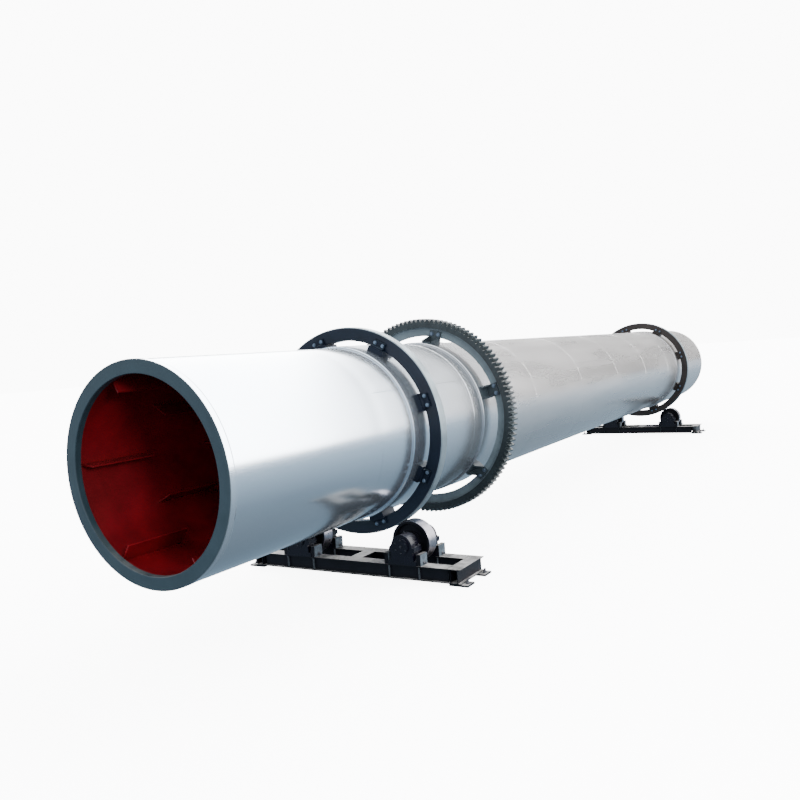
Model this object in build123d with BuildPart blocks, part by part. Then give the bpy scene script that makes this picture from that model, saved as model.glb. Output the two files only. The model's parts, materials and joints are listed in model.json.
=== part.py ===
from build123d import *
from math import acos, cos, pi, radians, sin, tan
import os

# Rotary dryer: a long plated drum on two riding rings, each carried by a pair of rollers
# on its own low frame of H-beams, with a girth gear near the feed end.
# Millimetres. +X runs along the drum from the feed end to the discharge end, +Z is up and the
# origin is on the ground under the middle of the drum. Left is +Y, seen from the feed end.

# Drum shell
drum_length = 18000.0
shell_radius = 900.0
shell_plate = 14.0
middle_course_length = 6000.0

# Stiffening ring at each end of the shell
end_ring_depth = 60.0
end_ring_height = 110.0
end_ring_lip = 2.0
end_ring_chamfer = 4.0

# Thicker bands round the shell under the riding rings and the gear
wrapper_plate = 16.0
tyre_wrapper_width = 520.0
gear_wrapper_width = 460.0

# Riding rings
tyre_inset = 2870.0
tyre_depth = 140.0
tyre_width = 120.0
tyre_chamfer = 8.0

# Pads that carry each riding ring, and the bolted lugs at every pad that keep it in place
pad_count = 8
pad_width = 180.0
pad_thickness = 53.0
pad_overhang = 60.0
pad_start_angle = 72.0
lug_width = 140.0
lug_plate = 22.0
lug_reach = 72.0
lug_foot_length = 50.0
lug_bolt_spacing = 96.0
lug_bolt_height = 44.0
lug_bolt_hole = 11.0

# Girth gear
gear_inset = 4480.0
gear_module = 20.0
gear_standoff = 264.0
gear_pressure_angle = 20.0
gear_face_width = 160.0
gear_rim = 60.0
gear_web_gap = 74.0
gear_web_plate = 44.0

# Brackets that hold the gear off the shell
bracket_count = 6
bracket_start_angle = 43.0
bracket_width = 150.0
bracket_plate = 18.0
bracket_foot_length = 190.0
bracket_foot_plate = 14.0
bracket_lap = 70.0
bracket_bolt_spacing = 90.0
bracket_bolt_hole = 13.0

# Lifting flights inside the shell, in short sections that are grouped into courses
flight_courses = 5
sections_in_course = 5
flights_in_section = 6
flight_start_angle = 4.0
flight_stagger = 30.0
flight_height = 165.0
flight_plate = 12.0
flight_gap = 60.0

# Support rollers
roller_radius = 225.0
roller_width = 150.0
roller_angle = 30.0
roller_rim = 38.0
roller_web = 56.0
roller_hub_radius = 92.0
roller_hub_width = 176.0
roller_chamfer = 5.0
roller_draft = 14.0
shaft_seat_radius = 60.0
shaft_collar_radius = 66.0
shaft_journal_radius = 50.0

# Bearing housings
bearing_centre_height = 194.0
bearing_width = 150.0
bearing_top_radius = 120.0
bearing_foot_length = 332.0
bearing_foot_height = 46.0
bearing_waist = 270.0
bearing_ear_length = 300.0
bearing_ear_height = 52.0
bearing_ear_drop = 34.0
bearing_cap_radius = 86.0
bearing_cap_plate = 14.0
bearing_end_wall = 16.0

# Blocks beside each bearing foot
block_width = 46.0
block_height = 118.0
block_depth = 140.0

# Support frames
beam_height = 150.0
beam_flange_width = 150.0
beam_flange = 10.0
beam_web = 7.0
beam_root_radius = 8.0
beam_spacing = 400.0
frame_overhang = 658.0
stiffener_plate = 12.0
stiffener_offset = 178.0
foot_plate = 20.0
foot_plate_width = 150.0
foot_plate_length = 210.0
foot_plate_reach = 78.0
anchor_edge = 38.0
anchor_hole = 13.0

# Clearances
ride_gap = 0.3
seat_gap = 0.3
journal_gap = 0.08
shaft_end_gap = 6.0
lug_gap = 0.5
block_gap = 2.0

# Sizes and places that follow from the ones above
shell_bore = shell_radius - shell_plate
end_ring_bore = shell_radius - end_ring_height
wrapper_bore = shell_radius + seat_gap
wrapper_radius = wrapper_bore + wrapper_plate
pad_inner = wrapper_radius + seat_gap
pad_outer = pad_inner + pad_thickness
tyre_bore = pad_outer + seat_gap
tyre_radius = tyre_bore + tyre_depth
gear_teeth = 2 * round((wrapper_radius + gear_standoff) / gear_module)
frame_top = foot_plate + beam_height
roller_height = frame_top + bearing_centre_height
roller_centres = tyre_radius + ride_gap + roller_radius
roller_offset = roller_centres * sin(radians(roller_angle))
frame_length = 2 * (roller_offset + frame_overhang)
axis_height = roller_height + roller_centres * cos(radians(roller_angle))
feed_end = -drum_length / 2
discharge_end = drum_length / 2
shell_start = feed_end + end_ring_depth
shell_finish = discharge_end - end_ring_depth
gear_x = feed_end + gear_inset
stations = {"feed": feed_end + tyre_inset, "discharge": discharge_end - tyre_inset}
sides = {"left": 1, "right": -1}

os.makedirs("parts", exist_ok=True)


def across(x):
    """Plane across the drum at x, with +Y to its right and +Z up, facing the discharge end."""
    return Plane(origin=(x, 0, axis_height), x_dir=(0, 1, 0), z_dir=(1, 0, 0))


def through_axis(x, angle):
    """Plane through the drum axis, turned by angle from +Y, with +X to its right, the radius up."""
    turn = radians(angle)
    return Plane(origin=(x, 0, axis_height), x_dir=(1, 0, 0), z_dir=(0, -sin(turn), cos(turn)))


def even_angles(count, start):
    """Angles evenly spaced round the drum from a first one."""
    return [start + 360.0 / count * step for step in range(count)]


def save(piece, node):
    """Label a finished piece and write it under its node name."""
    piece.part.label = node
    export_step(piece.part, f"parts/{node}.step")


# Drum shell, in three courses that meet end to end
course_ends = (shell_start, -middle_course_length / 2, middle_course_length / 2, shell_finish)
for node, start, finish in zip(
    ("drum_shell_feed", "drum_shell_middle", "drum_shell_discharge"), course_ends, course_ends[1:]
):
    with BuildPart() as drum_shell:
        with BuildSketch(across(start)):
            Circle(shell_radius)
            Circle(shell_bore, mode=Mode.SUBTRACT)
        extrude(amount=finish - start)
    save(drum_shell, node)

# End rings: flat stiffening rings that close the edge of the shell, a little proud of it
for node, start in (("feed_end_ring", feed_end), ("discharge_end_ring", shell_finish)):
    with BuildPart() as end_ring:
        with BuildSketch(across(start)):
            Circle(shell_radius + end_ring_lip)
            Circle(end_ring_bore, mode=Mode.SUBTRACT)
        extrude(amount=end_ring_depth)
        chamfer(end_ring.edges().filter_by(GeomType.CIRCLE), end_ring_chamfer)
    save(end_ring, node)

# Wrapper bands welded round the shell
bands = {
    "feed_tyre_wrapper": (stations["feed"], tyre_wrapper_width),
    "gear_wrapper": (gear_x, gear_wrapper_width),
    "discharge_tyre_wrapper": (stations["discharge"], tyre_wrapper_width),
}
for node, (middle, width) in bands.items():
    with BuildPart() as wrapper:
        with BuildSketch(across(middle - width / 2)):
            Circle(wrapper_radius)
            Circle(wrapper_bore, mode=Mode.SUBTRACT)
        extrude(amount=width)
    save(wrapper, node)

# Riding rings, the pads they sit on and the L-shaped lugs bolted to both of their faces
pad_length = tyre_width + 2 * pad_overhang
lug_angles = even_angles(pad_count, pad_start_angle)
for station, middle in stations.items():
    with BuildPart() as tyre:
        with BuildSketch(across(middle - tyre_width / 2)):
            Circle(tyre_radius)
            Circle(tyre_bore, mode=Mode.SUBTRACT)
        extrude(amount=tyre_width)
        rims = tyre.edges().filter_by(GeomType.CIRCLE).group_by(SortBy.RADIUS)[-1]
        chamfer(rims, tyre_chamfer)
    save(tyre, f"{station}_tyre")

    with BuildPart() as pads:
        with BuildSketch(across(middle - pad_length / 2)):
            with PolarLocations((pad_inner + pad_outer) / 2, pad_count, start_angle=pad_start_angle):
                Rectangle(2 * (pad_outer - pad_inner), pad_width)
            Circle(pad_outer, mode=Mode.INTERSECT)
            Circle(pad_inner, mode=Mode.SUBTRACT)
        extrude(amount=pad_length)
    save(pads, f"{station}_tyre_pads")

    with BuildPart() as lugs:
        for side in (-1, 1):
            face = side * (tyre_width / 2 + lug_gap)
            heel = tyre_bore + seat_gap
            toe = face + side * lug_foot_length
            back = face + side * lug_plate
            with BuildSketch(*[through_axis(middle, angle) for angle in lug_angles]):
                with BuildLine():
                    Polyline(
                        (face, heel),
                        (toe, heel),
                        (toe, heel + lug_plate / 2),
                        (back, heel + lug_plate),
                        (back, tyre_bore + lug_reach),
                        (face, tyre_bore + lug_reach),
                        close=True,
                    )
                make_face()
            extrude(amount=lug_width / 2, both=True)
            with BuildSketch(across(middle + face)):
                with PolarLocations(tyre_bore + lug_bolt_height, pad_count, pad_start_angle):
                    with GridLocations(0, lug_bolt_spacing, 1, 2):
                        Circle(lug_bolt_hole)
            extrude(amount=side * lug_plate, mode=Mode.SUBTRACT)
    save(lugs, f"{station}_tyre_lugs")

# Girth gear: involute teeth on a deep rim, with a thinner web that the brackets bolt to
pitch_radius = gear_module * gear_teeth / 2
tip_radius = pitch_radius + gear_module
root_radius = pitch_radius - 1.25 * gear_module
base_radius = pitch_radius * cos(radians(gear_pressure_angle))
gear_rim_bore = root_radius - gear_rim
gear_web_bore = wrapper_radius + gear_web_gap


def involute(radius):
    """Involute of the pressure angle that the flank has at a radius."""
    pressure = acos(base_radius / radius)
    return tan(pressure) - pressure


def half_tooth(radius):
    """Half of a tooth's angle at a radius, half a pitch thick on the pitch circle."""
    return pi / (2 * gear_teeth) + involute(pitch_radius) - involute(radius)


tooth_outline = []
for tooth in range(gear_teeth):
    centre = 2 * pi * tooth / gear_teeth
    rising = [(radius, centre - half_tooth(radius)) for radius in (root_radius, pitch_radius, tip_radius)]
    falling = [(radius, 2 * centre - angle) for radius, angle in reversed(rising)]
    tooth_outline += [(radius * cos(angle), radius * sin(angle)) for radius, angle in rising + falling]

with BuildPart() as girth_gear:
    with BuildSketch(across(gear_x - gear_face_width / 2)):
        with BuildLine():
            Polyline(*tooth_outline, close=True)
        make_face()
        Circle(gear_rim_bore, mode=Mode.SUBTRACT)
    extrude(amount=gear_face_width)
    with BuildSketch(across(gear_x - gear_web_plate / 2)):
        Circle(gear_rim_bore)
        Circle(gear_web_bore, mode=Mode.SUBTRACT)
        with PolarLocations(gear_web_bore + bracket_lap / 2, bracket_count, bracket_start_angle):
            with GridLocations(0, bracket_bolt_spacing, 1, 2):
                Circle(bracket_bolt_hole, mode=Mode.SUBTRACT)
    extrude(amount=gear_web_plate)
save(girth_gear, "girth_gear")

# Gear brackets: a curved foot on the wrapper, two gussets and a flange bolted to the web
bracket_inner = wrapper_radius + seat_gap
bracket_top = bracket_inner + bracket_foot_plate
flange_face = gear_x - gear_web_plate / 2
flange_back = flange_face - bracket_plate
foot_start = flange_face - bracket_foot_length
flange_top = gear_web_bore + bracket_lap
with BuildPart() as gear_brackets:
    with BuildSketch(across(foot_start)):
        with PolarLocations(bracket_inner, bracket_count, bracket_start_angle):
            Rectangle(2 * bracket_foot_plate, bracket_width)
        Circle(bracket_top, mode=Mode.INTERSECT)
        Circle(bracket_inner, mode=Mode.SUBTRACT)
    extrude(amount=bracket_foot_length)
    with BuildSketch(across(flange_back)):
        with PolarLocations((bracket_top + flange_top) / 2, bracket_count, bracket_start_angle):
            Rectangle(flange_top - bracket_inner - bracket_foot_plate / 2, bracket_width)
        with PolarLocations(gear_web_bore + bracket_lap / 2, bracket_count, bracket_start_angle):
            with GridLocations(0, bracket_bolt_spacing, 1, 2):
                Circle(bracket_bolt_hole, mode=Mode.SUBTRACT)
    extrude(amount=bracket_plate)
    for edge in (-1, 1):
        gusset_side = edge * (bracket_width - bracket_plate) / 2
        gusset_planes = [
            through_axis(flange_back, angle).offset(gusset_side)
            for angle in even_angles(bracket_count, bracket_start_angle)
        ]
        with BuildSketch(*gusset_planes):
            with BuildLine():
                Polyline(
                    (0, bracket_top - bracket_foot_plate / 2),
                    (0, gear_web_bore),
                    (-bracket_plate, gear_web_bore),
                    (foot_start - flange_back, bracket_top + bracket_foot_plate),
                    (foot_start - flange_back, bracket_top - bracket_foot_plate / 2),
                    close=True,
                )
            make_face()
        extrude(amount=bracket_plate / 2, both=True)
save(gear_brackets, "gear_brackets")

# Lifting flights: straight plates on edge along the shell, each section turned from the one before
section_pitch = (shell_finish - shell_start - flight_gap) / (flight_courses * sections_in_course)
flight_foot = shell_bore - seat_gap
for course in range(flight_courses):
    with BuildPart() as flights:
        for section in range(course * sections_in_course, (course + 1) * sections_in_course):
            first_angle = flight_start_angle - flight_stagger * (section % 2)
            with BuildSketch(across(shell_start + flight_gap + section * section_pitch)):
                with PolarLocations(flight_foot, flights_in_section, first_angle):
                    Rectangle(2 * flight_height, flight_plate)
                Circle(flight_foot, mode=Mode.INTERSECT)
            extrude(amount=section_pitch - flight_gap)
    save(flights, f"lifting_flights_{course + 1}")

# Support stations: a frame of H-beams, bearings, blocks and a pair of rollers under each ring
beam_middle = foot_plate + beam_height / 2
beam_reach = frame_length / 2 - beam_flange_width
stiffener_width = (beam_flange_width - beam_web) / 2
stiffener_height = beam_height - 2 * beam_flange
stiffener_places = [
    sign * roller_offset + shift for sign in sides.values() for shift in (-stiffener_offset, stiffener_offset)
]


def h_section(plane):
    """Rolled H-section on a plane, with its web upright and rounded roots."""
    with BuildSketch(plane) as section:
        Rectangle(beam_flange_width, beam_height)
        with GridLocations(beam_web + stiffener_width, 0, 2, 1):
            pocket = Rectangle(stiffener_width, stiffener_height, mode=Mode.PRIVATE)
            add(pocket, mode=Mode.SUBTRACT)
        roots = section.vertices().sort_by(lambda vertex: abs((plane.to_local_coords(vertex)).X))[:4]
        fillet(roots, beam_root_radius)
    return section.sketch


for station, middle in stations.items():
    for node, beam_x in (
        (f"{station}_front_beam", middle - beam_spacing / 2),
        (f"{station}_rear_beam", middle + beam_spacing / 2),
    ):
        with BuildPart() as beam:
            beam_end = Plane(origin=(beam_x, -beam_reach, beam_middle), x_dir=(1, 0, 0), z_dir=(0, 1, 0))
            extrude(h_section(beam_end), amount=2 * beam_reach)
            for y in stiffener_places:
                stiffener = Plane(origin=(beam_x, y, beam_middle), x_dir=(1, 0, 0), z_dir=(0, 1, 0))
                with BuildSketch(stiffener):
                    Rectangle(beam_flange_width, stiffener_height)
                extrude(amount=stiffener_plate / 2, both=True)
        save(beam, node)

    with BuildPart() as cross_members:
        outer_end = middle - (beam_spacing + beam_flange_width) / 2
        for y in (-(beam_reach + beam_flange_width / 2), beam_reach + beam_flange_width / 2):
            outer_plane = Plane(origin=(outer_end, y, beam_middle), x_dir=(0, 1, 0), z_dir=(1, 0, 0))
            extrude(h_section(outer_plane), amount=beam_spacing + beam_flange_width)
        inner_end = middle - (beam_spacing - beam_flange_width) / 2
        inner_plane = Plane(origin=(inner_end, 0, beam_middle), x_dir=(0, 1, 0), z_dir=(1, 0, 0))
        extrude(h_section(inner_plane), amount=beam_spacing - beam_flange_width)
    save(cross_members, f"{station}_cross_members")

    with BuildPart() as foot_plates:
        plate_y = (frame_length - foot_plate_length) / 2 + foot_plate_reach
        anchor_y = frame_length / 2 + foot_plate_reach - anchor_edge
        with BuildSketch(Plane(origin=(middle, 0, 0))):
            with GridLocations(beam_spacing, 2 * plate_y, 2, 2):
                Rectangle(foot_plate_width, foot_plate_length)
            with GridLocations(beam_spacing, 2 * anchor_y, 2, 2):
                Circle(anchor_hole, mode=Mode.SUBTRACT)
        extrude(amount=foot_plate)
    save(foot_plates, f"{station}_foot_plates")

    for side, sign in sides.items():
        roller_y = sign * roller_offset

        with BuildPart() as bearings:
            for end in (-1, 1):
                inner_face = middle + end * (beam_spacing - bearing_width) / 2
                face = Plane(
                    origin=(inner_face, roller_y, roller_height), x_dir=(0, end, 0), z_dir=(end, 0, 0)
                )
                with BuildSketch(face):
                    Circle(bearing_top_radius)
                    with BuildLine():
                        Polyline(
                            (-bearing_top_radius, 0),
                            (bearing_top_radius, 0),
                            (bearing_waist / 2, bearing_foot_height - bearing_centre_height),
                            (bearing_foot_length / 2, bearing_foot_height - bearing_centre_height),
                            (bearing_foot_length / 2, -bearing_centre_height),
                            (-bearing_foot_length / 2, -bearing_centre_height),
                            (-bearing_foot_length / 2, bearing_foot_height - bearing_centre_height),
                            (-bearing_waist / 2, bearing_foot_height - bearing_centre_height),
                            close=True,
                        )
                    make_face()
                    with Locations((0, -bearing_ear_drop)):
                        Rectangle(bearing_ear_length, bearing_ear_height)
                extrude(amount=bearing_width)
                with BuildSketch(face.offset(bearing_width)):
                    Circle(bearing_cap_radius)
                extrude(amount=bearing_cap_plate)
                with BuildSketch(face):
                    Circle(shaft_journal_radius + journal_gap)
                extrude(amount=bearing_width - bearing_end_wall, mode=Mode.SUBTRACT)
        save(bearings, f"{station}_{side}_bearings")

        roller_start = Plane(
            origin=(middle, roller_y, roller_height), x_dir=(1, 0, 0), z_dir=(0, -1, 0)
        )
        roller_axis = Axis((middle, roller_y, roller_height), (1, 0, 0))
        with BuildPart() as roller:
            with BuildSketch(roller_start):
                with BuildLine():
                    half_profile = Polyline(
                        (0, shaft_seat_radius + journal_gap),
                        (roller_hub_width / 2, shaft_seat_radius + journal_gap),
                        (roller_hub_width / 2, roller_hub_radius - roller_draft / 2),
                        (roller_web / 2, roller_hub_radius + roller_draft / 2),
                        (roller_web / 2, roller_radius - roller_rim - roller_draft / 2),
                        (roller_width / 2, roller_radius - roller_rim + roller_draft / 2),
                        (roller_width / 2, roller_radius - roller_chamfer),
                        (roller_width / 2 - roller_chamfer, roller_radius),
                        (0, roller_radius),
                    )
                    mirror(half_profile, about=Plane.YZ)
                make_face()
            revolve(axis=roller_axis)
        save(roller, f"{station}_{side}_roller")

        collar_end = beam_spacing / 2 - bearing_width / 2 - shaft_end_gap
        journal_end = beam_spacing / 2 + bearing_width / 2 - bearing_end_wall - shaft_end_gap
        with BuildPart() as shaft:
            with BuildSketch(roller_start):
                with BuildLine():
                    half_shaft = Polyline(
                        (0, shaft_seat_radius),
                        (roller_hub_width / 2, shaft_seat_radius),
                        (roller_hub_width / 2, shaft_collar_radius),
                        (collar_end, shaft_collar_radius),
                        (collar_end, shaft_journal_radius),
                        (journal_end, shaft_journal_radius),
                        (journal_end, 0),
                    )
                    mirror(half_shaft, about=Plane.YZ)
                    Line((-journal_end, 0), (journal_end, 0))
                make_face()
            revolve(axis=roller_axis)
        save(shaft, f"{station}_{side}_shaft")

    with BuildPart() as blocks:
        block_shift = (bearing_foot_length + block_width) / 2 + block_gap
        block_centres = [
            (sign * roller_offset + shift, frame_top + block_height / 2)
            for sign in sides.values()
            for shift in (-block_shift, block_shift)
        ]
        for end in (-1, 1):
            block_plane = Plane(
                origin=(middle + end * beam_spacing / 2, 0, 0), x_dir=(0, 1, 0), z_dir=(1, 0, 0)
            )
            with BuildSketch(block_plane):
                with Locations(*block_centres):
                    Rectangle(block_width, block_height)
            extrude(amount=block_depth / 2, both=True)
    save(blocks, f"{station}_stop_blocks")
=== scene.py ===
"""Rotary dryer on its two roller stations: the looks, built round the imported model."""
import json
from itertools import cycle
from math import cos, pi, radians, sin

import bpy
import numpy as np
from mathutils import Matrix, Vector


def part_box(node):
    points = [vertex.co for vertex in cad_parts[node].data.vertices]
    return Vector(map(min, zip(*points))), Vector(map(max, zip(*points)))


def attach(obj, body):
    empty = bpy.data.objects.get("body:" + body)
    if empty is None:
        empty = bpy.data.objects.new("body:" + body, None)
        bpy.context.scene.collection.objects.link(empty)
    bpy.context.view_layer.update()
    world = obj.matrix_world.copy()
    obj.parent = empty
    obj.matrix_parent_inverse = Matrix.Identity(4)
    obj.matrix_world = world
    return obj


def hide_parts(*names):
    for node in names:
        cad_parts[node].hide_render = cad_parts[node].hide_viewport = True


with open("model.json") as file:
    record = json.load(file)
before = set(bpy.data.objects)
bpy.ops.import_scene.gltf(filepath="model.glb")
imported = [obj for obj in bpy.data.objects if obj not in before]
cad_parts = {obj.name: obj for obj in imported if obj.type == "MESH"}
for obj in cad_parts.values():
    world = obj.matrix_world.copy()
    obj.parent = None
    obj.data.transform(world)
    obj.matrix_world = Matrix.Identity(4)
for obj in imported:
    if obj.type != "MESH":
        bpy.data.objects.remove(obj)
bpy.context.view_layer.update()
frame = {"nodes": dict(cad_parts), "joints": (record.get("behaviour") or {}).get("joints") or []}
nodes = frame["nodes"]
pivots = {joint["name"]: joint["pos_m"] for joint in frame["joints"]}
axis_height = pivots["drum_spin"][2]

# The dryer is seen from a little over two metres up, outside the drum's right-hand side and beyond
# its open feed end, with the camera leaning a few degrees.
camera_place = Vector((-13.049, -4.788, axis_height + 0.787))
camera_heading = radians(31.346)
camera_tilt = radians(-6.793)
camera_lean = radians(-4.158)

look = Vector((
    cos(camera_tilt) * cos(camera_heading),
    cos(camera_tilt) * sin(camera_heading),
    sin(camera_tilt),
))
level_right = Vector((sin(camera_heading), -cos(camera_heading), 0.0))
level_up = level_right.cross(look)
right = cos(camera_lean) * level_right + sin(camera_lean) * level_up
camera_data = bpy.data.cameras.new("camera")
camera_data.lens = 35.27
camera_data.shift_y = 0.06
camera_data.clip_end = 400.0
camera = bpy.data.objects.new("camera", camera_data)
turn = Matrix((right, right.cross(look), -look)).transposed()
camera.matrix_world = Matrix.Translation(camera_place) @ turn.to_4x4()
bpy.context.scene.collection.objects.link(camera)
bpy.context.scene.camera = camera


# The studio: a pale floor inside a white surround. Both glow enough to read as white paper, and the
# steel mirrors the soft sky behind them instead.
def shader_node(tree, kind, *inputs, **settings):
    """Add a node. Settings are its properties or its inputs by name, and the other values fill its
    inputs in order. A socket given as a value is linked."""
    made = tree.nodes.new("ShaderNode" + kind)
    by_name = {}
    for name, value in settings.items():
        if hasattr(made, name):
            setattr(made, name, value)
        else:
            by_name[name.replace("_", " ")] = value
    for key, value in [*enumerate(inputs), *by_name.items()]:
        if isinstance(value, bpy.types.NodeSocket):
            tree.links.new(value, made.inputs[key])
        else:
            made.inputs[key].default_value = value
    return made


def ramp(tree, share, stops):
    """Colours placed along a share from 0 to 1, blended straight from each stop to the next."""
    made = shader_node(tree, "ValToRGB", share)
    marks = made.color_ramp.elements
    while len(marks) < len(stops):
        marks.new(1.0)
    for mark, (place, colour) in zip(marks, stops):
        mark.position = place
        mark.color = (*colour, 1.0)
    return made.outputs["Color"]


def span(tree, value, low, high, first=0.0, last=1.0):
    """Level at first up to the low value, straight on to last at the high value, and level after."""
    return shader_node(tree, "MapRange", value, low, high, first, last).outputs["Result"]


def blend(tree, share, first, second):
    """Colour that goes from the first to the second as the share goes from 0 to 1."""
    return shader_node(tree, "Mix", data_type="RGBA", Factor=share, A=first, B=second).outputs["Result"]


def stage_paper(name, pale, glow, points, faces):
    """A piece of the studio in matt white that also glows. Only the camera sees it."""
    paper = bpy.data.materials.new(name)
    paper.use_nodes = True
    shader = paper.node_tree.nodes["Principled BSDF"]
    shader.inputs["Base Color"].default_value = (pale, pale, pale, 1.0)
    shader.inputs["Roughness"].default_value = 1.0
    shader.inputs["Specular IOR Level"].default_value = 0.0
    shader.inputs["Emission Color"].default_value = (1.0, 1.0, 1.0, 1.0)
    shader.inputs["Emission Strength"].default_value = glow
    paper.cycles.emission_sampling = "NONE"
    mesh = bpy.data.meshes.new(name)
    mesh.from_pydata(points, [], faces)
    mesh.materials.append(paper)
    made = bpy.data.objects.new(name, mesh)
    made.visible_diffuse = False
    made.visible_glossy = False
    made.visible_shadow = False
    bpy.context.scene.collection.objects.link(made)


studio_reach = 160.0
floor_pale, floor_glow, surround_glow = 0.8, 8.0, 11.0
studio_corners = [(sx * studio_reach, sy * studio_reach) for sx, sy in ((-1, -1), (1, -1), (1, 1), (-1, 1))]
stage_paper("floor", floor_pale, floor_glow, [(x, y, 0.0) for x, y in studio_corners], [(0, 1, 2, 3)])
stage_paper("surround", 0.0, surround_glow,
            [(x, y, z) for z in (-1.0, studio_reach) for x, y in studio_corners],
            [(0, 4, 5, 1), (1, 5, 6, 2), (2, 6, 7, 3), (3, 7, 4, 0), (4, 7, 6, 5)])

# The sky goes by the X part of its direction, which the drum mirrors unchanged: white where the feed
# end shows it, then grey and a little warmer. The ground is blue-grey, darker straight down, and its
# edge rises to the left.
sky_strength, left_rise = 18.0, 0.3
world = bpy.data.worlds.new("studio_sky")
bpy.context.scene.world = world
world.use_nodes = True
sky = world.node_tree
toward = shader_node(sky, "SeparateXYZ", shader_node(sky, "TexCoord").outputs["Generated"])
overhead = ramp(sky, span(sky, toward.outputs["X"], -1.0, 1.0), (
    (0.0, (0.125, 0.13, 0.14)),
    (0.5, (0.11, 0.113, 0.117)),
    (0.7, (0.35, 0.36, 0.37)),
    (0.8, (1.0, 1.0, 1.0)),
    (0.89, (1.0, 1.0, 1.0)),
    (0.905, (0.50, 0.50, 0.51)),
    (0.918, (0.13, 0.132, 0.136)),
    (0.93, (0.052, 0.052, 0.054)),
    (0.945, (0.036, 0.035, 0.035)),
    (1.0, (0.028, 0.027, 0.026)),
))
ground = ramp(sky, span(sky, toward.outputs["Z"], -1.0, 1.0), (
    (0.0, (0.006, 0.007, 0.008)),
    (0.25, (0.013, 0.019, 0.025)),
    (0.44, (0.034, 0.046, 0.058)),
    (0.49, (0.051, 0.062, 0.074)),
))
leftward = shader_node(sky, "Math", toward.outputs["Y"], 0.0, operation="MAXIMUM").outputs[0]
height = shader_node(sky, "Math", leftward, -left_rise, toward.outputs["Z"],
                     operation="MULTIPLY_ADD").outputs[0]
light = blend(sky, span(sky, height, -0.01, 0.03), ground, overhead)
sky.links.new(light, sky.nodes["Background"].inputs["Color"])
sky.nodes["Background"].inputs["Strength"].default_value = sky_strength

# A soft lamp stands well out to the right of the feed end. It lights what faces right, and throws
# the shadow of the mouth's edge on to the wall inside.
lamp_place = Vector((-15.0, -13.4, 5.2))
lamp_aim = Vector((-8.5, 0.0, axis_height))
lamp_data = bpy.data.lights.new("side_lamp", "AREA")
lamp_data.size = 2.2
lamp_data.energy = 1050.0
lamp = bpy.data.objects.new("side_lamp", lamp_data)
away = (lamp_place - lamp_aim).to_track_quat("Z", "Y")
lamp.matrix_world = Matrix.Translation(lamp_place) @ away.to_matrix().to_4x4()
bpy.context.scene.collection.objects.link(lamp)


# Support frames: rolled H-beams welded into a ladder, painted black, with pale dust on every ledge and
# painted light, a paler colour, on the sides of the stiffeners. Anchor bolts hold each foot plate down.
def noise(tree, place, size, detail, rough=0.5):
    """Cloudy noise from 0 to 1, its largest clouds about a size across."""
    made = shader_node(tree, "TexNoise", place, Scale=1.0 / size, Detail=detail, Roughness=rough)
    return made.outputs["Fac"]


def facing(tree, axis):
    """The X, Y or Z part of the direction that the surface faces."""
    normal = shader_node(tree, "NewGeometry").outputs["Normal"]
    return shader_node(tree, "SeparateXYZ", normal).outputs[axis]


def laid_coat(tree, place, colour, roughness, *, drift=0.1, drift_size=0.5, run=1.0, dust=0.0,
              dust_size=0.2, dust_colour=(0.36, 0.34, 0.31)):
    """Colour and roughness sockets of one coat. Both drift with a cloudy noise, stretched along X by
    the run, and dust takes over where the surface faces up and a second noise is dense."""
    drawn = shader_node(tree, "VectorMath", place, (1.0 / run, 1.0, 1.0), operation="MULTIPLY").outputs[0]
    clouds = noise(tree, drawn, drift_size, 6.0, 0.6)
    darker = [(1.0 - drift) * part for part in colour]
    lighter = [min(1.0, (1.0 + drift) * part) for part in colour]
    shown = ramp(tree, clouds, ((0.32, darker), (0.68, lighter)))
    dull = span(tree, clouds, 0.0, 1.0, max(0.04, roughness - 0.07), roughness + 0.09)
    if not dust:
        return shown, dull
    ledge = span(tree, facing(tree, "Z"), 0.5, 0.97, 0.0, dust)
    dense = span(tree, noise(tree, place, dust_size, 7.0, 0.65), 0.30, 0.58)
    share = shader_node(tree, "Math", ledge, dense, operation="MULTIPLY").outputs[0]
    shown = blend(tree, share, shown, (*dust_colour, 1.0))
    return shown, shader_node(tree, "Math", share, 0.4, dull, operation="MULTIPLY_ADD").outputs[0]


def painted(name, coat, *, metallic=0.0, over=None, over_metallic=0.0, where=None, specular=0.5, gloss=0.0,
            grain=0.0002, grain_size=0.012):
    """A coat on steel, with another coat over it where a mask says. A fine noise raises the grain,
    and the gloss is a clear layer on top."""
    made = bpy.data.materials.new(name)
    made.use_nodes = True
    tree = made.node_tree
    shader = tree.nodes["Principled BSDF"]
    shader.inputs["Metallic"].default_value = metallic
    shader.inputs["Specular IOR Level"].default_value = specular
    shader.inputs["Coat Weight"].default_value = gloss
    shader.inputs["Coat Roughness"].default_value = 0.08
    place = shader_node(tree, "TexCoord").outputs["Object"]
    shown, dull = laid_coat(tree, place, **coat)
    if over:
        share = where(tree, place)
        top, top_dull = laid_coat(tree, place, **over)
        shown = blend(tree, share, shown, top)
        dull = shader_node(tree, "Mix", Factor=share, A=dull, B=top_dull).outputs["Result"]
        bare = span(tree, share, 0.0, 1.0, metallic, over_metallic)
        tree.links.new(bare, shader.inputs["Metallic"])
    fine = noise(tree, place, grain_size, 3.0)
    relief = shader_node(tree, "Bump", Height=fine, Distance=grain, Strength=1.0).outputs["Normal"]
    tree.links.new(shown, shader.inputs["Base Color"])
    tree.links.new(dull, shader.inputs["Roughness"])
    tree.links.new(relief, shader.inputs["Normal"])
    return made


def sideways(tree, place):
    """Mask of what faces left or right: one where the normal's Y part is nearly one, either way."""
    size = shader_node(tree, "Math", facing(tree, "Y"), operation="ABSOLUTE").outputs[0]
    return span(tree, size, 0.7, 0.95)


def dress(paint, *names):
    """Give nodes of the frame a finish in every one of their material slots."""
    for name in names:
        for slot in nodes[name].material_slots:
            slot.material = paint


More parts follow.
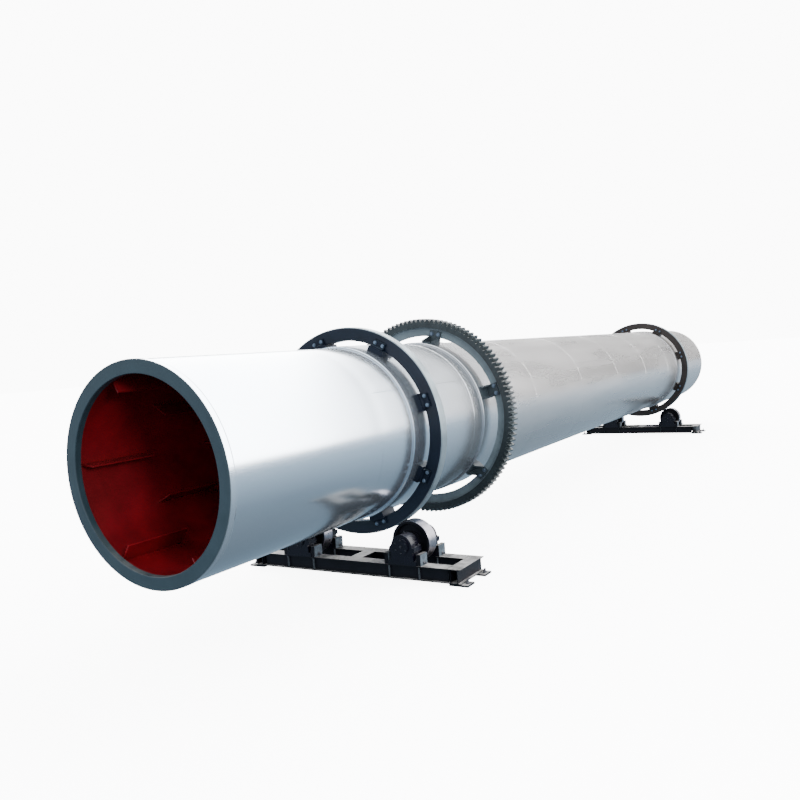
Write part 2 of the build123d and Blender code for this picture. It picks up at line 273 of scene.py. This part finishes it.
def lathe(profile, facets):
    """Closed form turned about Z from (radius, height) pairs that start and end on the axis: a ring
    of points for each pair between, and one point at each end."""
    inner = np.array(profile[1:-1])
    angles = np.arange(facets) * 2 * pi / facets
    rings = np.stack([
        inner[:, :1] * np.cos(angles),
        inner[:, :1] * np.sin(angles),
        np.repeat(inner[:, 1:], facets, axis=1),
    ], axis=-1).reshape(-1, 3)
    ends = np.array([(0.0, 0.0, profile[0][1]), (0.0, 0.0, profile[-1][1])])
    here = np.arange(facets)
    after = (here + 1) % facets
    steps = np.arange(len(inner) - 1)[:, None] * facets
    quads = np.stack([steps + here, steps + after, steps + facets + after, steps + facets + here], axis=-1)
    last = (len(inner) - 1) * facets
    foot = np.full(facets, len(rings))
    fans = np.concatenate([
        np.stack([foot, after, here], axis=-1),
        np.stack([foot + 1, last + here, last + after], axis=-1),
    ])
    return np.concatenate([rings, ends]), quads.reshape(-1, 4), fans


def copies(form, places, axes, turns=0.0):
    """Copies of a form, each stood at a place with its Z along an axis and turned about it. Its X
    and Y go to a direction square to the axis and to the cross product of the two."""
    points, quads, fans = form
    places = np.atleast_2d(places).astype(float)
    axes = np.broadcast_to(np.atleast_2d(axes).astype(float), places.shape)
    axes = axes / np.linalg.norm(axes, axis=1, keepdims=True)
    helper = np.where(np.abs(axes[:, 2:]) < 0.9, (0.0, 0.0, 1.0), (1.0, 0.0, 0.0))
    first = np.cross(helper, axes)
    first /= np.linalg.norm(first, axis=1, keepdims=True)
    second = np.cross(axes, first)
    turns = np.broadcast_to(turns, len(places))[:, None]
    u = first * np.cos(turns) + second * np.sin(turns)
    v = second * np.cos(turns) - first * np.sin(turns)
    stood = (places[:, None] + points[None, :, :1] * u[:, None] + points[None, :, 1:2] * v[:, None]
             + points[None, :, 2:] * axes[:, None])
    shift = (np.arange(len(places)) * len(points))[:, None, None]
    return stood.reshape(-1, 3), (quads[None] + shift).reshape(-1, 4), (fans[None] + shift).reshape(-1, 3)


def joined(*forms):
    """Several forms as one, with the faces of each counted on from the points before it."""
    starts = np.cumsum([0] + [len(points) for points, quads, fans in forms])
    return (
        np.concatenate([points for points, quads, fans in forms]),
        np.concatenate([form[1] + start for form, start in zip(forms, starts)]),
        np.concatenate([form[2] + start for form, start in zip(forms, starts)]),
    )


def piece(name, form, body, paint):
    """Make a form a piece of the dryer, smooth but for its sharp edges, that moves with a body."""
    points, quads, fans = form
    mesh = bpy.data.meshes.new(name)
    mesh.from_pydata(points.tolist(), [], quads.tolist() + fans.tolist())
    mesh.shade_smooth()
    mesh.set_sharp_from_angle(angle=sharp_angle)
    mesh.materials.append(paint)
    made = bpy.data.objects.new(name, mesh)
    bpy.context.scene.collection.objects.link(made)
    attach(made, body)
    return made


def hex_bolt(size, stud=0.0):
    """Washer under a chamfered hexagon for a thread of the given diameter, with the stud's end above
    it when there is one. The hexagon is one and a half diameters across its flats."""
    washer = lathe([(0, 0), (1.05 * size, 0), (1.05 * size, 0.16 * size), (0, 0.16 * size)], 16)
    corner = 1.5 * size / (2 * cos(pi / 6))
    top = 0.8 * size
    head = lathe([(0, 0.1 * size), (corner, 0.1 * size), (corner, 0.88 * top),
                  (0.88 * corner, top), (0, top)], 6)
    if not stud:
        return joined(washer, head)
    end = lathe([(0, 0.2 * size), (0.5 * size, 0.2 * size), (0.5 * size, stud - 0.1 * size),
                 (0.4 * size, stud), (0, stud)], 12)
    return joined(washer, head, end)


def bead(start, finish, radius):
    """Straight weld bead: a round rod with closed ends, thick and thin in turn along its length. It
    has a ring of points for every 1.6 radii of its length, from 3 to 40 of them."""
    start, finish = np.array(start, float), np.array(finish, float)
    length = float(np.linalg.norm(finish - start))
    beats = max(3, min(40, int(length / (1.6 * radius))))
    heights = np.linspace(0.04 * length, 0.96 * length, beats)
    thick = radius * (1.0 + 0.16 * np.cos(pi * np.arange(beats)))
    profile = [(0, 0)] + list(zip(thick.tolist(), heights.tolist())) + [(0, length)]
    return copies(lathe(profile, 6), start, finish - start)


def middle_x(box):
    """Half the sum of the two X values of a box."""
    low, high = box
    return 0.5 * (low[0] + high[0])


stations = ("feed", "discharge")
sides = ("left", "right")
both_ways = (-1, 1)
sharp_angle = radians(32)
roller_offset = pivots["feed_left_roller_spin"][1]
rng = np.random.default_rng(7)

black_coat = dict(colour=(0.003, 0.003, 0.005), roughness=0.40, drift=0.35, drift_size=0.25, dust=0.8,
                  dust_colour=(0.32, 0.31, 0.30))
# Painted light: a paler colour on faces that look left or right, standing in for the light on them.
painted_light_side = dict(colour=(0.055, 0.065, 0.075), roughness=0.5, drift=0.35, drift_size=0.06)
beam_black = painted("beam_black", black_coat, specular=0.12, over=painted_light_side, where=sideways)
plate_black = painted("plate_black", black_coat, specular=0.15)
dull_coat = dict(colour=(0.08, 0.08, 0.09), roughness=0.45, drift=0.3, drift_size=0.02)
dark_zinc = painted("dark_zinc", dull_coat, metallic=0.6)
anchor_thread, anchor_stud, anchor_from_edge = 0.024, 0.045, 0.038
stiffener_offset = 0.178
flange_thick, half_web, half_plate, flange_edge = 0.010, 0.0035, 0.006, 0.072
stiffener_bead, web_bead, flange_bead = 0.004, 0.0045, 0.003
beam_rows = {}
for st in stations:
    dress(beam_black, f"{st}_front_beam", f"{st}_rear_beam")
    dress(plate_black, f"{st}_cross_members", f"{st}_foot_plates")
    beam_rows[st] = [middle_x(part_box(f"{st}_{which}_beam")) for which in ("front", "rear")]
    plate_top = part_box(f"{st}_foot_plates")[1]
    anchors = [(x, way * (plate_top[1] - anchor_from_edge), plate_top[2]) for x in beam_rows[st]
               for way in both_ways]
    anchor_nut = hex_bolt(anchor_thread, anchor_stud)
    piece(f"{st}_anchor_nuts", copies(anchor_nut, anchors, (0, 0, 1), rng.uniform(0, pi, len(anchors))),
          "supports", dark_zinc)
    low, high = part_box(f"{st}_front_beam")
    foot, roof = low[2] + flange_thick, high[2] - flange_thick
    welds = []
    for x in beam_rows[st]:
        for y in [way * roller_offset + offset + face for way in both_ways
                  for offset in (-stiffener_offset, stiffener_offset) for face in (-half_plate, half_plate)]:
            for edge in both_ways:
                root, tip = x + edge * half_web, x + edge * flange_edge
                welds.append(bead((root, y, foot), (root, y, roof), stiffener_bead))
                welds.append(bead((root, y, roof), (tip, y, roof), stiffener_bead))
                welds.append(bead((root, y, foot), (tip, y, foot), stiffener_bead))
        for end in (low[1], high[1]):
            welds.append(bead((x, end, foot), (x, end, roof), web_bead))
            welds.append(bead((x - flange_edge, end, high[2]), (x + flange_edge, end, high[2]), flange_bead))
    piece(f"{st}_frame_welds", joined(*welds), "supports", plate_black)

# Stop blocks: steel blocks welded to the beam at both ends of each bearing foot, black with painted
# light on their sides. A screw with a lock nut goes through each of them and holds the bearing in line.
# Painted light on the stop blocks: a paler colour on their left and right faces, standing in for light.
block_painted_light_side = dict(painted_light_side, colour=(0.055, 0.07, 0.085))
block_black = painted("block_black", dict(black_coat, dust=0.5), over=block_painted_light_side, where=sideways,
                      specular=0.12)
screw_thread, screw_stud, screw_turn, screw_rise, screw_out = 0.016, 0.036, 0.3, 0.023, 0.214
for st in stations:
    dress(block_black, f"{st}_stop_blocks")
    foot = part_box(f"{st}_stop_blocks")[0][2]
    screws = [((x, way * roller_offset + end * screw_out, foot + screw_rise), (0, end, 0))
              for x in beam_rows[st] for way in both_ways for end in both_ways]
    piece(f"{st}_stop_screws", copies(hex_bolt(screw_thread, screw_stud), *zip(*screws), screw_turn),
          "supports", dark_zinc)

# Bearings: cast housings in gloss black. Six screws hold each end cap, two bolts go through each
# pair of ears and two through each end of the foot, and a grease nipple stands on top.
bearing_coat = dict(colour=(0.0025, 0.0022, 0.006), roughness=0.26, drift=0.3, drift_size=0.12, dust=0.2,
                    dust_colour=(0.20, 0.21, 0.24))
bearing_black = painted("bearing_black", bearing_coat, specular=0.2, grain=0.0003, grain_size=0.02)
bolt_coat = dict(colour=(0.020, 0.020, 0.026), roughness=0.35, drift=0.3, drift_size=0.02)
bolt_black = painted("bolt_black", bolt_coat, metallic=0.5)
nipple = lathe([(0, 0), (0.009, 0), (0.009, 0.012), (0.005, 0.014), (0.005, 0.024),
                (0.0035, 0.028), (0, 0.028)], 10)
boss = lathe([(0, 0), (0.016, 0), (0.012, 0.010), (0, 0.012)], 16)
bearing_out, nipple_rise = 0.2, 0.118
cap_screw_thread, cap_screw_ring = 0.010, 0.068
cap_screw_angles = np.radians(np.arange(30, 390, 60))
ear_bolt_stud, ear_bolt_out, ear_bolt_aside, ear_drop = 0.020, 0.136, 0.042, 0.008
foot_bolt_stud, foot_bolt_out, foot_bolt_aside, foot_top = 0.024, 0.150, 0.045, 0.046
housing_thread = 0.014
for st in stations:
    for side in sides:
        node = f"{st}_{side}_bearings"
        dress(bearing_black, node)
        low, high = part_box(node)
        x, y, z = pivots[f"{st}_{side}_roller_spin"]
        face = high[0] - x
        caps = [((x + end * face, y + cap_screw_ring * cos(angle), z + cap_screw_ring * sin(angle)),
                 (end, 0, 0)) for end in both_ways for angle in cap_screw_angles]
        ears = [(x + end * bearing_out + dx, y + dy, z - ear_drop) for end in both_ways
                for dx in (-ear_bolt_aside, ear_bolt_aside) for dy in (-ear_bolt_out, ear_bolt_out)]
        feet = [(x + end * bearing_out + dx, y + dy, low[2] + foot_top) for end in both_ways
                for dx in (-foot_bolt_aside, foot_bolt_aside) for dy in (-foot_bolt_out, foot_bolt_out)]
        tops = [(x + end * bearing_out, y, z + nipple_rise) for end in both_ways]
        middles = [((x + end * face, y, z), (end, 0, 0)) for end in both_ways]
        piece(f"{node}_bolts", joined(
            copies(hex_bolt(cap_screw_thread), *zip(*caps), rng.uniform(0, pi, len(caps))),
            copies(hex_bolt(housing_thread, ear_bolt_stud), ears, (0, 0, 1), rng.uniform(0, pi, len(ears))),
            copies(hex_bolt(housing_thread, foot_bolt_stud), feet, (0, 0, 1), rng.uniform(0, pi, len(feet))),
            copies(nipple, tops, (0, 0, 1)),
            copies(boss, *zip(*middles)),
        ), "supports", bolt_black)


# Rollers: cast wheels with dark faces and a tread that the riding ring keeps bright, on turned
# steel shafts.
def beyond(centre_y, centre_z, edge, blur=0.001):
    """Mask of what lies further than the edge from an axis along X, blurred by a little."""
    def mask(tree, place):
        flat = shader_node(tree, "VectorMath", place, (0.0, 1.0, 1.0), (0.0, -centre_y, -centre_z),
                           operation="MULTIPLY_ADD").outputs[0]
        distance = shader_node(tree, "VectorMath", flat, operation="LENGTH").outputs["Value"]
        return span(tree, distance, edge - blur, edge + blur)
    return mask


wheel_coat = dict(colour=(0.003, 0.003, 0.005), roughness=0.5, drift=0.3, drift_size=0.1)
tread_coat = dict(colour=(0.24, 0.23, 0.255), roughness=0.28, drift=0.12, drift_size=0.04)
shaft_coat = dict(colour=(0.34, 0.34, 0.36), roughness=0.3, drift_size=0.05)
turned_steel = painted("turned_steel", shaft_coat, metallic=1.0)
tread_depth = 0.006
for st in stations:
    for side in sides:
        wheel = f"{st}_{side}_roller"
        x, y, z = pivots[f"{wheel}_spin"]
        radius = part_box(wheel)[1][2] - z
        dress(painted(f"{wheel}_finish", wheel_coat, over=tread_coat, over_metallic=1.0, specular=0.12,
                      where=beyond(y, z, radius - tread_depth), grain=0.0003), wheel)
        dress(turned_steel, f"{st}_{side}_shaft")


# Drum shell: rolled plate welded up in three courses, gloss silver-grey outside and red oxide
# primer within. The plate waves a little between its welds, and past the gear it turns greyer and warmer.
def plate_dip(x, theta):
    """How far the plate lies within its true circle: a sum of four sines of angle and length, and a
    bell-shaped pull along each girth weld."""
    wave = (0.36 * np.sin(3 * theta + 1.1 * x + 0.4) + 0.30 * np.sin(5 * theta - 2.3 * x + 2.1)
            + 0.20 * np.sin(2 * theta + 4.7 * x + 4.0) + 0.14 * np.sin(9 * theta + 0.8 * x + 1.0))
    pull = np.exp(-((x - girth_welds) / pull_reach) ** 2).sum(axis=-1, keepdims=True)
    return wave_depth * (1.0 + wave) + pull_depth * pull


def rolled_course(start, finish, outer, inner):
    """Tube about the drum's axis, whose outer radius is less by the plate's dip. The rows run out
    along it and straight back along the bore, so the last two bands are the bore and one end."""
    x = np.linspace(start, finish, 1 + round((finish - start) / shell_step))[:, None]
    theta = np.arange(shell_facets) * 2 * pi / shell_facets
    rows = np.concatenate([outer - plate_dip(x, theta), np.full((2, len(theta)), inner)])
    places = np.concatenate([x, [[finish], [start]]])
    points = np.stack([
        np.broadcast_to(places, rows.shape),
        rows * np.cos(theta),
        axis_height + rows * np.sin(theta),
    ], axis=-1).reshape(-1, 3)
    i, j = np.meshgrid(np.arange(len(rows)), np.arange(shell_facets), indexing="ij")
    here, after = i * shell_facets, (i + 1) % len(rows) * shell_facets
    round_on = (j + 1) % shell_facets
    corners = [here + j, here + round_on, after + round_on, after + j]
    return points, np.stack(corners, axis=-1).reshape(-1, 4), np.zeros((0, 3), int)


def hoop(x, radius, thick, wide, facets=6):
    """Weld bead round the drum: a torus of elliptical section, thick and thin in turn round it. The
    radius is one number, or one for each of the hoop's angles."""
    phi = np.arange(facets) * 2 * pi / facets
    rows = radius + thick * (1.0 + 0.12 * np.cos(hoop_beats * hoop_angles)) * np.cos(phi)
    points = np.stack([
        np.broadcast_to(x + wide * np.sin(phi), rows.shape),
        rows * np.cos(hoop_angles),
        axis_height + rows * np.sin(hoop_angles),
    ], axis=-1).reshape(-1, 3)
    i, j = np.meshgrid(np.arange(len(rows)), np.arange(facets), indexing="ij")
    ahead, across = (i + 1) % len(rows), (j + 1) % facets
    corners = [i * facets + j, ahead * facets + j, ahead * facets + across, i * facets + across]
    return points, np.stack(corners, axis=-1).reshape(-1, 4), np.zeros((0, 3), int)


def on_drum(x, radius, angle, aside=0.0):
    """Places at a radius and an angle from +Y about the drum's axis, moved aside along the circle."""
    turned = np.radians(angle)
    return np.stack(np.broadcast_arrays(
        x,
        radius * np.cos(turned) - aside * np.sin(turned),
        axis_height + radius * np.sin(turned) + aside * np.cos(turned),
    ), axis=-1)


def past(start, finish):
    """Mask that grows along X from nothing at the start to one at the finish."""
    def mask(tree, place):
        x = shader_node(tree, "SeparateXYZ", place).outputs["X"]
        return span(tree, x, start, finish)
    return mask


gear_middle = middle_x(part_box("girth_gear"))
# Past the gear the shell's silver turns to a darker, greyer and warmer coat over three metres along X.
grey_start, grey_full = gear_middle - 2.0, gear_middle + 1.0
silver_coat = dict(colour=(0.58, 0.64, 0.70), roughness=0.16, drift=0.04, drift_size=0.5, run=8.0)
rear_grey_coat = dict(colour=(0.44, 0.43, 0.425), roughness=0.27, drift=0.07, drift_size=0.35, run=8.0)
shell_silver = painted("shell_silver", silver_coat, metallic=0.93, over=rear_grey_coat, over_metallic=0.9,
                       where=past(grey_start, grey_full), gloss=0.2, grain=0.00005, grain_size=0.03)
red_coat = dict(colour=(0.14, 0.0014, 0.0040), roughness=0.45, drift=0.3, drift_size=0.35)
oxide_red = painted("oxide_red", red_coat, specular=0.45, grain=0.0008, grain_size=0.03)

courses = ("feed", "middle", "discharge")
shell_plate, plates_in_course = 0.014, 3
shell_facets, shell_step = 288, 0.066
wave_depth, pull_depth, pull_reach = 0.0018, 0.0008, 0.09
hoop_beats = 180
hoop_angles = (np.arange(2 * hoop_beats) * pi / hoop_beats)[:, None]
girth_sink, girth_thick, girth_wide = 0.0022, 0.003, 0.0055
seam_angles, seam_margin, seam_sink, seam_bead = (35.0, 150.0, 12.0), 0.01, 0.003, 0.0045

shell_start, shell_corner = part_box("drum_shell_feed")
shell_radius = shell_corner[1]
shell_bore = shell_radius - shell_plate
course_ends = (shell_start[0], shell_corner[0], -shell_corner[0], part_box("drum_shell_discharge")[1][0])
plate_edges = [shell_start[0]]
for start, finish in zip(course_ends, course_ends[1:]):
    plate_edges.extend(np.linspace(start, finish, plates_in_course + 1)[1:])
girth_welds = np.array(plate_edges[1:-1])
for course in courses:
    node = f"drum_shell_{course}"
    low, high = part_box(node)
    form = rolled_course(low[0], high[0], shell_radius, shell_bore)
    made = piece(f"{course}_course", form, "drum", shell_silver)
    made.data.materials.append(oxide_red)
    inside = np.zeros(len(form[1]), dtype=np.int32)
    inside[-2 * shell_facets:] = 1
    made.data.polygons.foreach_set("material_index", inside)
    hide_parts(node)
weld_forms = [hoop(x, shell_radius - girth_sink - plate_dip(x, hoop_angles), girth_thick, girth_wide)
              for x in girth_welds]
for start, finish, angle in zip(plate_edges, plate_edges[1:], cycle(seam_angles)):
    ends = np.array([start + seam_margin, finish - seam_margin])
    weld_forms.append(bead(*on_drum(ends, shell_radius - seam_sink, angle), seam_bead))
piece("shell_welds", joined(*weld_forms), "drum", shell_silver)


# End rings: flat rings welded on to stiffen the open ends. Their faces are slate-blue satin, and
# their edge has the shell's silver.
def rim(tree, place):
    """Mask of the outer edge: what faces away from the drum's axis, beyond the shell's bore."""
    size = shader_node(tree, "Math", facing(tree, "X"), operation="ABSOLUTE").outputs[0]
    level = span(tree, size, 0.75, 0.4)
    outer = beyond(0.0, axis_height, shell_bore)(tree, place)
    return shader_node(tree, "Math", level, outer, operation="MULTIPLY").outputs[0]


slate_coat = dict(colour=(0.020, 0.036, 0.045), roughness=0.42, drift=0.16, drift_size=0.3, dust=0.2)
ring_slate = painted("ring_slate", slate_coat, over=silver_coat, over_metallic=0.9, where=rim, specular=0.3,
                     grain=0.0003)
ring_weld_sink, ring_weld_thick, ring_weld_wide = 0.001, 0.003, 0.006
for st, inner_face in (("feed", 1), ("discharge", 0)):
    dress(ring_slate, f"{st}_end_ring")
    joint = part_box(f"{st}_end_ring")[inner_face][0]
    weld = hoop(joint, shell_radius - ring_weld_sink, ring_weld_thick, ring_weld_wide)
    piece(f"{st}_end_ring_weld", weld, "drum", shell_silver)

# Wrapper bands: thicker plate bent round the shell under the riding rings and the gear, with a
# fillet weld along each edge.
fillet_rise, fillet_radius = 0.004, 0.008
for node in ("feed_tyre_wrapper", "gear_wrapper", "discharge_tyre_wrapper"):
    dress(shell_silver, node)
    fillets = [hoop(end[0], shell_radius + fillet_rise, fillet_radius, fillet_radius)
               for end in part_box(node)]
    piece(f"{node}_welds", joined(*fillets), "drum", shell_silver)

# Riding rings: forged rings on eight pads, kept in place by lugs on both faces, each held by two
# bolts. The near one is navy and the far one is browner. Paint wears off the tread, which the
# rollers leave with a dull sheen.
navy_coat = dict(colour=(0.0035, 0.0065, 0.014), roughness=0.30, drift=0.35, drift_size=0.3, dust=0.25,
                 dust_colour=(0.06, 0.09, 0.10))
brown_coat = dict(navy_coat, colour=(0.022, 0.017, 0.015), roughness=0.45)
worn_coat = dict(colour=(0.20, 0.24, 0.26), roughness=0.32, drift=0.2, drift_size=0.2)
zinc_coat = dict(colour=(0.11, 0.145, 0.19), roughness=0.38, drift=0.25, drift_size=0.02)
bolt_zinc = painted("bolt_zinc", zinc_coat, metallic=0.8)
tyre_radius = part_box("feed_tyre")[1][1]
tread_wear, wear_blur = 0.009, 0.003
worn = beyond(0.0, axis_height, tyre_radius - tread_wear, wear_blur)
first_lug, lugs = 72.0, 8
lug_angles = first_lug + 360.0 / lugs * np.arange(lugs)
lug_thread, lug_thick, lug_bolt_drop, lug_bolt_aside = 0.020, 0.0225, 0.096, 0.048
lug_bolt_ring = tyre_radius - lug_bolt_drop
for st, coat in (("feed", navy_coat), ("discharge", brown_coat)):
    dress(painted(f"{st}_tyre_finish", coat, over=worn_coat, over_metallic=0.7, specular=0.25, where=worn,
                  grain=0.0004), f"{st}_tyre")
    dress(painted(f"{st}_lug_paint", dict(coat, roughness=0.45), specular=0.15),
          f"{st}_tyre_pads", f"{st}_tyre_lugs")
    low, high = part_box(f"{st}_tyre")
    piece(f"{st}_lug_bolts", joined(*[
        copies(hex_bolt(lug_thread), on_drum(x, lug_bolt_ring, lug_angles, aside), (face, 0, 0),
               rng.uniform(0, pi, lugs))
        for face, x in ((-1, low[0] - lug_thick), (1, high[0] + lug_thick))
        for aside in (-lug_bolt_aside, lug_bolt_aside)
    ]), "drum", bolt_zinc)

# Girth gear: a cast rim with cut teeth, dark with grease, and a paler web that is bolted to six
# welded brackets.
gear_rim_bore = 1.0950
grease_coat = dict(colour=(0.012, 0.018, 0.020), roughness=0.38, drift=0.3, drift_size=0.12, dust=0.25,
                   dust_colour=(0.12, 0.15, 0.15))
web_coat = dict(colour=(0.10, 0.13, 0.145), roughness=0.45, drift=0.18, drift_size=0.2)
dress(painted("gear_finish", web_coat, over=grease_coat, specular=0.4, grain=0.0008, grain_size=0.03,
              where=beyond(0.0, axis_height, gear_rim_bore)), "girth_gear")
# Brackets much darker than the web: partly their own paint, partly painted shade between shell and gear web.
dress(painted("bracket_paint", dict(web_coat, colour=(0.026, 0.036, 0.042)), specular=0.3), "gear_brackets")
first_bracket, brackets = 43.0, 6
bracket_angles = first_bracket + 360.0 / brackets * np.arange(brackets)
gear_thread, gear_stud, gear_bolt_ring, gear_bolt_aside = 0.024, 0.034, 1.0253, 0.045
web_half, bracket_flange = 0.022, 0.018
head_side = (-1, gear_middle - web_half - bracket_flange, 0.0)
nut_side = (1, gear_middle + web_half, gear_stud)
piece("gear_bolts", joined(*[
    copies(hex_bolt(gear_thread, stud), on_drum(x, gear_bolt_ring, bracket_angles, aside), (face, 0, 0),
           rng.uniform(0, pi, brackets))
    for face, x, stud in (head_side, nut_side)
    for aside in (-gear_bolt_aside, gear_bolt_aside)
]), "drum", bolt_zinc)

# Lifting flights: straight plates on edge, stitched to the shell, in the same red oxide primer.
flight_sets = 5
for number in range(1, flight_sets + 1):
    dress(oxide_red, f"lifting_flights_{number}")
